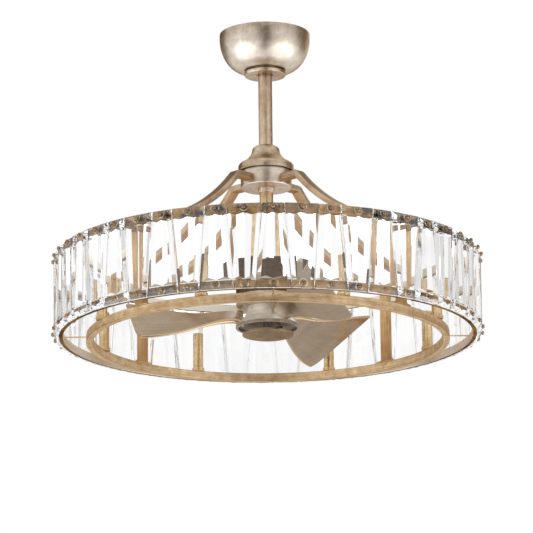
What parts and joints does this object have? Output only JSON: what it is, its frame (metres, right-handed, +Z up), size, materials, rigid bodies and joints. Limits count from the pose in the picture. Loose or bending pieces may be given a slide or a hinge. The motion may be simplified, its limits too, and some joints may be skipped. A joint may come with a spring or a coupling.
{
  "type": "chandelier ceiling fan",
  "caption": "Ceiling fan inside a round crystal drum chandelier, hung on a downrod from a bowl canopy, with curved bar arms, candle lamps and pitched blades.",
  "frame": {"origin": "centre of the ceiling face, on the fan's axis", "axes": "+Z up along the downrod, +X along the bracket's screw slots, the picture's camera on the -Y side"},
  "size_m": [0.8244, 0.8244, 0.614],
  "materials": {
    "canopy_metal": "burnished champagne silver",
    "gold_leaf": "rubbed gold leaf over metal",
    "band_metal": "bronzed gold",
    "screw_gold": "satin gold plated",
    "crystal": "clear, cut and polished",
    "blade_paint": "champagne paint with a metallic grain",
    "motor_paint": "dark bronze, satin",
    "zinc_steel": "bright zinc",
    "cast_coupling": "rough cast",
    "ball_nylon": "moulded nylon",
    "bearing_steel": "ground and polished",
    "core_steel": "stacked laminations",
    "magnet": "sintered",
    "winding": "enamelled copper wire",
    "holder_plastic": "phenolic",
    "receiver_case": "moulded case"
  },
  "bodies": {
    "ceiling_mount": {"hanger_bracket": "zinc_steel", "canopy": "canopy_metal", "canopy_screws": "zinc_steel", "canopy_screw_cover": "canopy_metal", "receiver": "receiver_case"},
    "fixture": {"hanger_ball": "ball_nylon", "ball_pin": "zinc_steel", "set_screws": "zinc_steel", "downrod": "canopy_metal", "rod_coupling": "cast_coupling", "coupling_pin": "zinc_steel", "coupling_pin_clip": "zinc_steel", "coupling_cover": "canopy_metal", "arm_hub": "canopy_metal", "hub_plate": "canopy_metal", "hub_screws": "zinc_steel", "arm_1": "gold_leaf", "arm_2": "gold_leaf", "arm_3": "gold_leaf", "arm_4": "gold_leaf", "arm_bolts": "zinc_steel", "foot_screws": "screw_gold", "inner_ring": "gold_leaf", "lower_band": "band_metal", "upper_band": "band_metal", "ring_rods": "gold_leaf", "top_rods": "gold_leaf", "crystals_wide_top": "crystal", "crystals_wide_bottom": "crystal", "upper_crystal_screws": "screw_gold", "lower_crystal_screws": "screw_gold", "lamp_cups": "gold_leaf", "lamp_sleeves": "gold_leaf", "lampholders": "holder_plastic", "lamp_nipples": "zinc_steel", "motor_stem": "canopy_metal", "stem_nut": "zinc_steel", "stem_collar": "canopy_metal", "motor_shaft": "zinc_steel", "retaining_rings": "zinc_steel", "stator_core": "core_steel", "stator_windings": "winding", "cap_plate": "zinc_steel", "shaft_nut": "zinc_steel", "bottom_cap": "canopy_metal"},
    "rotor": {"motor_shell_upper": "motor_paint", "motor_shell_lower": "motor_paint", "upper_bearing": "bearing_steel", "lower_bearing": "bearing_steel", "magnet_ring": "magnet", "blade_hub": "canopy_metal", "hub_bolts": "zinc_steel", "blade_1": "blade_paint", "blade_2": "blade_paint", "blade_3": "blade_paint", "blade_screws": "zinc_steel"}
  },
  "joints": [
    {"name": "hanger_swing", "type": "hinge", "parent": "ceiling_mount", "child": "fixture", "pos_m": [0, 0, -0.044], "axis": [1, 0, 0], "range_deg": [-5, 5]},
    {"name": "fan_spin", "type": "hinge", "parent": "fixture", "child": "rotor", "pos_m": [0, 0, -0.501], "axis": [0, 0, 1], "continuous": true}
  ]
}
